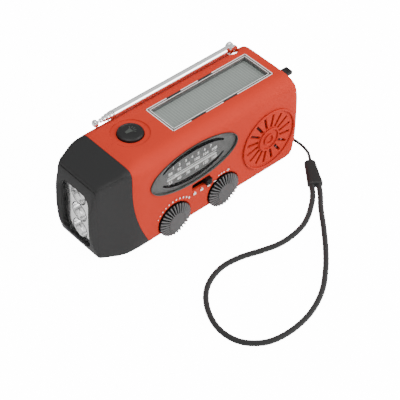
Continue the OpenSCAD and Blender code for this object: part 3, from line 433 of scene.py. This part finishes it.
def make_dial_slot(x, z):
    """Pale strip, borders, pointer's mark and lower lining of the slot, whose middle is (x, z)."""
    strip = ((x - 16.7, node_box("dial_backing")[0][1] - 0.34, z - 1.5), (33.4, 0.28, 2.6))
    boxes("dial_strip", [strip], "print_light", slot="white_plastic")
    borders = [((x - 15.7, PLATE_Y - 0.05, z + dz), (31.4, 0.06, 0.3)) for dz in (-1.08, 0.78)]
    boxes("dial_slot_border", borders, "print_light", slot="grey_print")
    mark = ((x - 10.9, PLATE_Y - 0.08, z - 0.55), (1.0, 0.4, 1.2))
    boxes("pointer_mark", [mark], "print_light", body="pointer", slot="white_plastic")
    section = ((-0.01, -0.74), (0.63, -0.74), (0.63, -0.6), (-0.01, -0.66))
    section = [(PLATE_Y + dy, z + dz) for dy, dz in section]
    loft("dial_slot_lining", [[(x + end, y, h) for y, h in section] for end in (-15.8, 15.8)], "print_light",
         closed=False, slot="white_plastic")


def dial_band(name, route):
    """Thin printed stripe along a route of (x, z) from the dial's centre, widest in the middle."""
    path = smooth_route([(x, z, 0) for x, z in route], 1.0)
    n = len(path)
    front, back = PLATE_Y - 0.03, PLATE_Y + 0.01
    loops = []
    for i, q in enumerate(path):
        along = (path[min(i + 1, n - 1)] - path[max(i - 1, 0)]).normalized()
        half = 0.4 + 0.9 * math.sin(math.pi * i / (n - 1)) ** 0.7
        a, b = ((DIAL_X + q.x - s * half * along.y, DIAL_Z + q.y + s * half * along.x) for s in (1, -1))
        loops.append([(a[0], front, a[1]), (b[0], front, b[1]), (b[0], back, b[1]), (a[0], back, a[1])])
    return loft(name, loops, "print_dark", closed=False, slot="grey_print")


make_dial()


# ---------- Controls ----------

def front_print(name, marks):
    """Thin print on the case's front; each mark is (lowest x and z, width and height)."""
    level, thick = FRONT_Y - 0.03, 0.05
    corners = [((x, level, z), (w, thick, h)) for (x, z), (w, h) in marks]
    boxes(name, corners, "print_light", slot="grey_print")


def make_controls():
    """Plain marks round the knobs and the switch, the knobs, and the slider's ridges."""
    marks = [((4.6, 19.8), (1.8, 0.4)), ((13.3, 22.0), (1.8, 0.4)), ((14.0, 21.3), (0.4, 1.8))]
    marks += [((x, z), (0.9, 0.5)) for x, z in ((7.6, 21.9), (9.3, 22.2), (11.0, 22.2))]
    places = (-8.6, -4.0, 0.6)
    marks += [((x, 19.0), (1.7, 1.3)) for x in places]
    marks += [((x + 0.6, 20.6), (0.5, 0.5)) for x in places]
    front_print("case_marks", marks)
    knob_x, _, knob_z = node_centre("tuning_knob")
    arc_r = 12.7
    dots = []
    for k in range(11):
        a = math.radians(150 - 10.5 * k)
        size = 0.35 + 0.05 * k
        corner = (knob_x + arc_r * math.cos(a) - size / 2, knob_z + arc_r * math.sin(a) - size / 2)
        dots.append((corner, (size, size * 1.5)))
    front_print("tuning_marks", dots)
    make_knob("tuning")
    make_knob("volume")
    x, y, z = node_box("band_slider")[0]
    boxes("slider_ridges", [((x + 0.65 + 0.9 * i, y - 0.15, z + 0.3), (0.35, 0.3, 3.2)) for i in range(3)],
          "black_plastic", body="band_selector", slot="black_plastic")


def make_knob(name, ribs=30):
    """Cone with deep grooves between its finger ribs, round a flat face; the rib tops on its front are a
    lighter grey, a painted highlight.
    """
    x, _, z = node_centre(name + "_knob")
    groove = (0, 0, 0.5, 1, 1, 1, 1, 1, 0.5, 0)
    per = len(groove)
    profile = ((5.0, -1.9, 0), (5.3, -2.06, 0), (5.6, -2.0, 1.1), (8.4, -1.1, 1.3), (9.5, -0.65, 1.2),
               (9.85, -0.3, 1.0), (9.85, 1.45, 1.0), (5.0, 1.45, 0))
    rim_r, rim_share, front_rows = 9, 0.9, 6
    loops = []
    for r, depth, deep in profile:
        loop = []
        for k, (c, s) in enumerate(circle(ribs * per)):
            cut = deep * groove[k % per]
            radius = r - (rim_share * cut if r > rim_r else 0)
            loop.append((x + radius * c, FRONT_Y + depth + (cut if depth < 0 else 0), z + radius * s))
        loops.append(loop)
    ring = loft(name + "_knob_ring", loops, "black_plastic", body=name, slot="black_plastic")
    # The rib tops in the front rows get the painted highlight; the rest of the knob is black
    ring.data.materials.append(EXTRA["painted_ridge_highlight"])
    for f in ring.data.polygons:
        if max(f.vertices) < front_rows * ribs * per and all(groove[v % per] < 1 for v in f.vertices):
            f.material_index = 1
    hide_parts(name + "_knob")
    face = ((5.2, -2.0), (5.1, -2.08), (0.01, -2.08), (0.01, -0.7), (5.2, -0.7))
    front_ring(name + "_knob_face", x, z, face, "grey_plastic", body=name, slot="grey_plastic")


def make_button():
    """A plain lamp with five rays, raised a little from the torch button."""
    x0 = node_centre("torch_switch")[0]
    top = node_box("torch_button")[1][2] + 0.02
    near, far, half = 1.6, 3.0, 0.2
    outlines = []
    for k in range(5):
        a = math.radians(-60 + 30 * k)
        c, s = math.cos(a), math.sin(a)
        outlines.append([(x0 + r * c + w * s, r * s - w * c, top - drop) for r, w, drop in
                         ((near, -half, 0), (near, half, 0), (far, half, 0.04), (far, -half, 0.04))])
    lamp = ((0.7, -1.5), (0.7, 1.5), (-0.6, 1.1), (-2.9, 0.7), (-2.9, -0.7), (-0.6, -1.1))
    outlines.append([(x0 + dx, dy, top) for dx, dy in lamp])
    prisms("torch_button_icon", outlines, 0.3, "rim_grey", body="button", slot="black_rubber")


make_controls()
make_button()


# ---------- Case with soft edges ----------

def outer_faces(x, y, z, front_x, front_r):
    """Signed distances to each face of the case's outer form; the torch end is round, at front_x."""
    diagonal = math.sqrt(0.5)

    def taper(inward, out):
        """A leaning face of the torch head; out is the distance past the case's own face."""
        return (TAPER_L * out - inward * (x - LEFT_X - TAPER_L)) / math.hypot(inward, TAPER_L)

    return (FRONT_Y - y, y - BACK_Y, z - TOP_Z, -z,
            diagonal * (z - y - TOP_Z + FRONT_Y + FRONT_CHAMFER),
            diagonal * (FRONT_Y - y - z + FRONT_CHAMFER),
            diagonal * (y - z - BACK_Y + FRONT_CHAMFER),
            diagonal * (y + z - BACK_Y - TOP_Z + BACK_CHAMFER),
            taper(8.35, FRONT_Y - y), taper(6.15, y - BACK_Y), taper(8.2, z - TOP_Z), taper(5, -z),
            math.hypot(min(x - front_x - front_r, 0), z - HEAD_MID_Z) - front_r,
            math.hypot(max(x - RIGHT_X + END_R, 0), z - TOP_Z / 2) - END_R,
            math.hypot(max(x - RIGHT_X + CORNER_R, 0),
                       max(FRONT_Y + CORNER_R - y, y - BACK_Y + CORNER_R, 0)) - CORNER_R)


def soft_form(inset=0.03, front_x=LEFT_X, front_r=NOSE_R):
    """Closed skin of the outer form, with every edge rounded, less so on the torch head."""
    soft, head_soft, cell = 0.85, 0.4, 1.1
    centre = (-1.0, -1.0, 28.0)
    half = (63.5, 21.0, 28.5)
    reach, halvings = 1.6, 22
    head_end, blend_l = -58, 26
    cells = [max(2, round(2 * h / cell)) for h in half]
    index, verts, faces = {}, [], []

    def level(p):
        """Smooth largest distance: below 0 inside the rounded form."""
        distances = outer_faces(*p, front_x, front_r)
        most = max(distances)
        k = head_soft + (soft - head_soft) * min(1, max(0, (p[0] - head_end) / blend_l))
        return most + k * math.log(sum(math.exp((d - most) / k) for d in distances)) + inset

    def vertex(key):
        if key not in index:
            ray = [(2 * k / n - 1) * h for k, n, h in zip(key, cells, half)]
            low, high = 0.0, reach
            for _ in range(halvings):
                t = (low + high) / 2
                if level([c + t * a for c, a in zip(centre, ray)]) < 0:
                    low = t
                else:
                    high = t
            index[key] = len(verts)
            verts.append(tuple(c + low * a for c, a in zip(centre, ray)))
        return index[key]

    for axis in range(3):
        u, v = (axis + 1) % 3, (axis + 2) % 3
        for end in (0, cells[axis]):
            for i in range(cells[u]):
                for j in range(cells[v]):
                    ring = []
                    for a, b in ((0, 0), (1, 0), (1, 1), (0, 1)):
                        key = [0, 0, 0]
                        key[axis], key[u], key[v] = end, i + a, j + b
                        ring.append(vertex(tuple(key)))
                    faces.append(ring if end else ring[::-1])
    return piece("soft_form", verts, faces, "red_plastic", body=None)


def keep_common(obj, other):
    """Cuts an object's mesh back to the part that lies inside another."""
    cut = obj.modifiers.new("cut", "BOOLEAN")
    cut.operation = "INTERSECT"
    cut.solver = "MANIFOLD"
    cut.object = other
    bpy.context.view_layer.update()
    done = bpy.data.meshes.new_from_object(obj.evaluated_get(bpy.context.evaluated_depsgraph_get()))
    obj.modifiers.remove(cut)
    obj.data = done
    for f in done.polygons:
        f.use_smooth = True
        f.material_index = 0
    done.set_sharp_from_angle(angle=math.radians(28))


def dress(obj, material, body):
    """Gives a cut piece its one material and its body."""
    obj.data.materials.clear()
    obj.data.materials.append(material)
    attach(obj, body)


def soften(node, form):
    """A copy of the CAD node, cut back to the soft form; it stands in for the node."""
    src = frame["nodes"][node]
    mesh = src.data.copy()
    mesh.transform(src.matrix_world)
    if mesh.has_custom_normals:
        mesh.attributes.remove(mesh.attributes["custom_normal"])
    bm = bmesh.new()
    bm.from_mesh(mesh)
    bmesh.ops.remove_doubles(bm, verts=bm.verts, dist=2e-6)
    bm.to_mesh(mesh)
    bm.free()
    obj = bpy.data.objects.new(node + "_visual", mesh)
    bpy.context.collection.objects.link(obj)
    keep_common(obj, form)
    bpy.data.meshes.remove(mesh)
    dress(obj, MAT[SLOT[node]], NODE_BODY[node])
    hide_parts(node)


def make_case():
    form = soft_form()
    for node in ("front_shell", "rear_shell", "nose_cap", "port_cover"):
        soften(node, form)
    bpy.data.objects.remove(form)
    x, y, z = RIGHT_X - 6.1, -15.0, TOP_Z - 4.8
    tab = [((x, y, z), (4.7, 4.5, 2.0))]
    tab += [((x + dx, y + 0.4, z + 1.9), (0.5, 3.7, 0.35)) for dx in (2.8, 3.9)]
    boxes("port_cover_tab", tab, "black_rubber", body="cover", slot="black_rubber")


# ---------- Speaker, solar panel, torch, back, aerial, board ----------

def make_speaker_details():
    bead = ((17.6, 0.1), (17.5, -0.3), (17.1, -0.45), (16.7, -0.3), (16.5, 0.1))
    front_ring("speaker_bead", SPEAKER_X, SPEAKER_Z, bead, "red_plastic", n=96, slot="red_plastic",
               smooth=True)
    section = ((0.45, 0.1), (0.35, -0.25), (0, -0.4), (-0.35, -0.25), (-0.45, 0.1))
    for name, r in (("speaker_ring_outer", 6.3), ("speaker_ring_inner", 2.8)):
        ring = [(r + dr, depth) for dr, depth in section]
        front_ring(name, SPEAKER_X, SPEAKER_Z, ring, "red_plastic", n=64, slot="red_plastic", smooth=True)
    cloth = ((12.4, 2.02), (0.01, 2.02), (0.01, 2.25), (12.4, 2.25))
    front_ring("speaker_cloth", SPEAKER_X, SPEAKER_Z, cloth, "cloth", slot="speaker_paper")


def four_bars(low, high, z, width, height):
    """Boxes for a flat frame inside the rectangle from low (x, y) to high (x, y)."""
    (x0, y0), (x1, y1) = low, high
    return [((x0, y0, z), (x1 - x0, width, height)), ((x0, y1 - width, z), (x1 - x0, width, height)),
            ((x0, y0, z), (width, y1 - y0, height)), ((x1 - width, y0, z), (width, y1 - y0, height))]


def make_solar_details():
    """Lining and edge lines of the solar panel, and dashes of painted shade for its frame's notches; its
    busbars lie in the cell and don't show.
    """
    (cx0, cy0, cz0), (cx1, cy1, _) = node_box("solar_cell")
    (fx0, fy0, _), (fx1, fy1, _) = node_box("solar_frame")
    lining_z = cz0 + 0.05
    lining = four_bars((cx0 - 0.2, cy0 - 0.2), (cx1 + 0.2, cy1 + 0.2), lining_z, 0.15,
                       node_box("solar_cover")[0][2] - lining_z)
    boxes("solar_lining", lining, "grey_print", slot="grey_print")
    # Dashes of painted shade where the frame's notches are
    rows = ((-0.1, 9.2, fy1 - 1.25, 1.27), (20.2, 9.1, fy1 - 1.25, 1.27), (-1.7, 9.4, fy0 - 0.02, 0.7),
            (19, 9, fy0 - 0.02, 0.7))
    dashes = [((x, y, TOP_Z - 0.04), (length, width, 0.11)) for x, length, y, width in rows]
    boxes("solar_notch_shade", dashes, "painted_shade", slot="grey_plastic")
    line_z, line_h = TOP_Z - 0.01, 0.05
    edges = four_bars((fx0, fy0), (fx1, fy1), line_z, 0.4, line_h)
    edges += four_bars((cx0 - 0.5, cy0 - 0.5), (cx1 + 0.5, cy1 + 0.5), line_z, 0.3, line_h)
    boxes("solar_edges", edges, "print_light", slot="white_plastic")
    busbars = [((cx0 + 0.1, y, cz0), (cx1 - cx0 - 0.2, 0.35, 0.06)) for y in (-6.0, 1.3)]
    boxes("solar_busbars", busbars, "steel", slot="steel")


def rounded(y0, y1, z0, z1, r, n=10):
    """Points (y, z) of a rectangle with round corners."""
    out = []
    corners = ((y1 - r, z1 - r, 0), (y0 + r, z1 - r, 90), (y0 + r, z0 + r, 180), (y1 - r, z0 + r, 270))
    for cy, cz, a0 in corners:
        for k in range(n + 1):
            a = math.radians(a0 + 90 * k / n)
            out.append((cy + r * math.cos(a), cz + r * math.sin(a)))
    return out


def make_torch_details():
    """Domed bezel and lens, and flat rings of painted shade at the rims of the three reflector cups."""
    low, high = node_box("torch_lens")
    _, mid_y, mid_z = node_centre("torch_lens")

    def outline(grow, r):
        return rounded(low[1] - grow, high[1] + grow, low[2] - grow, high[2] + grow, r)

    bezel = soft_form(inset=0.0, front_x=LEFT_X - 1.7, front_r=68.0)
    bezel.name = "torch_bezel"
    back_x, hole_x, ahead_x = LEFT_X + 1.8, LEFT_X + 0.5, LEFT_X - 7.5
    block = [[(x, y, z) for y, z in rounded(-30, 30, -10, 70, 9)] for x in (ahead_x, back_x)]
    for x, grow in ((back_x, -0.15), (hole_x, 0.0), (ahead_x, 6.4)):
        block.append([(x, y, z) for y, z in outline(0.1 + grow, 5 + grow / 2)])
    block = loft("block", block, "black_rubber", body=None)
    keep_common(bezel, block)
    bpy.data.objects.remove(block)
    dress(bezel, MAT["black_rubber"], "case")

    edge = outline(-0.05, 4.8)
    dome = 1.5
    lens = [[(high[0] - 0.1, y, z) for y, z in edge]]
    for k in (1, 0.85, 0.6, 0.3, 0.05):
        x = high[0] - 1 - dome * (1 - k * k)
        lens.append([(x, k * y, mid_z + k * (z - mid_z)) for y, z in edge])
    lens = loft("torch_lens_visual", lens, "clear_plastic", closed=False, slot="clear_plastic", smooth=True)
    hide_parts("torch_lens")

    # Thin rings of painted shade round the front edge of each chrome reflector cup
    front, back = high[0] - 0.08, high[0] + 0.04
    for name, dz in (("low", -11), ("mid", 0), ("top", 11)):
        ring_x("torch_cup_rim_shade_" + name, mid_y, mid_z + dz, ((5.2, front), (5.5, front), (5.5, back), (5.2, back)),
               "painted_shade", n=48, slot="bright_chrome")


def cross(x, y, z, size=1.5, width=0.7, thick=0.06):
    """Two thin bars that cross at (x, z), for the painted shade in a screw head's cross slot."""
    return [((x - size, y, z - width / 2), (2 * size, thick, width)),
            ((x - width / 2, y, z - size), (width, thick, 2 * size))]


def make_back_details():
    # Crosses of painted shade for the screws' slots, on the back and on the crank
    heads = []
    for x, z in ((-31.5, 8.5), (-40, 48), (44.5, 49.5), (50, 8.5)):
        heads += cross(x, BACK_Y - 1.22, z)
    boxes("screw_slot_shade", heads, "painted_shade", slot="steel")
    crank_face = node_box("crank_arm")[1][1]
    boxes("crank_screw_slot_shade", cross(21.5, crank_face - 0.02, 27), "painted_shade", body="crank", slot="steel")


def make_aerial_details():
    """Rolled bead near the free end of each outer tube."""
    _, y, z = node_centre("antenna_tube_1")
    first_r, drop = 2.0, 0.37
    for i in range(1, 5):
        r = first_r - (i - 1) * drop
        x = node_box(f"antenna_tube_{i}")[0][0]
        bead = ((r + 0.06, x + 2.2), (r + 0.12, x + 1.6), (r + 0.06, x + 1.0), (r - 0.05, x + 1.6))
        ring_x(f"antenna_ring_{i}", y, z, bead, "bright_chrome", body=f"aerial_{i}", slot="bright_chrome",
               smooth=True)


def make_board_parts():
    """Small parts on the back of the main board; each is (x, z, width, height, depth)."""
    board_back = node_box("main_board")[1][1]
    sizes = ((-34, 12, 6, 9, 2.5), (-8, 40, 9, 4, 1.4), (5, 30, 5, 5, 3.5), (14, 38, 3, 7, 2),
             (18, 30, 4, 4, 5), (-30, 30, 5, 3, 1.2), (-22, 44, 4, 4, 3),
             (-34, 38, 3, 6, 1.5), (16, 22, 6, 2.5, 1))
    parts = [((x, board_back, z), (w, d, h)) for x, z, w, h, d in sizes]
    boxes("board_parts", parts, "black_plastic", slot="black_plastic")


make_case()
make_speaker_details()
make_solar_details()
make_torch_details()
make_back_details()
make_aerial_details()
make_board_parts()


# ---------- Floor and light ----------

def glow_floor(material, for_camera=14.0, for_reflections=0.25):
    """Lifts the floor to white for the camera, and a little for reflections, without lighting the object."""
    tree = material.node_tree
    surface = tree.nodes["Principled BSDF"]
    path = add_node(tree, "LightPath")
    soft = add_node(tree, "Math", ((1, for_reflections),), operation="MULTIPLY")
    tree.links.new(path.outputs["Is Glossy Ray"], soft.inputs[0])
    total = add_node(tree, "Math", ((1, for_camera),), operation="MULTIPLY_ADD")
    tree.links.new(path.outputs["Is Camera Ray"], total.inputs[0])
    tree.links.new(soft.outputs["Value"], total.inputs[2])
    surface.inputs["Emission Color"].default_value = (1, 1, 1, 1)
    tree.links.new(total.outputs["Value"], surface.inputs["Emission Strength"])


def make_sky():
    """White studio surround, brighter from above."""
    world = bpy.data.worlds.new("studio")
    bpy.context.scene.world = world
    world.use_nodes = True
    tree = world.node_tree
    sky = tree.nodes["Background"]
    sky.inputs["Color"].default_value = (1, 1, 1, 1)
    place = add_node(tree, "TexCoord")
    split = add_node(tree, "SeparateXYZ")
    tree.links.new(place.outputs["Generated"], split.inputs["Vector"])
    brightness = (("From Min", 0.05), ("From Max", 0.75), ("To Min", 0.3), ("To Max", 0.85))
    lift = add_node(tree, "MapRange", brightness)
    tree.links.new(split.outputs["Z"], lift.inputs["Value"])
    tree.links.new(lift.outputs["Result"], sky.inputs["Strength"])


def make_stage():
    """Pale floor, surround and two soft lights; the lights' places and sizes are in metres."""
    reach, level = 3000, -0.05
    corners = [(-reach, -reach, level), (reach, -reach, level), (reach, reach, level), (-reach, reach, level)]
    piece("floor", corners, [(0, 1, 2, 3)], "floor", body=None)
    glow_floor(EXTRA["floor"])
    make_sky()
    aim = Vector((0, 0, 0.02))
    for name, place, size, power in (("key", (-0.5, -0.2, 1.1), 0.8, 7), ("fill", (0.7, -1.1, 0.6), 1.0, 18)):
        light = bpy.data.lights.new(name, "AREA")
        light.size = size
        light.energy = power
        obj = bpy.data.objects.new(name, light)
        obj.location = place
        obj.rotation_euler = (Vector(place) - aim).to_track_quat("Z", "Y").to_euler()
        bpy.context.collection.objects.link(obj)


make_stage()
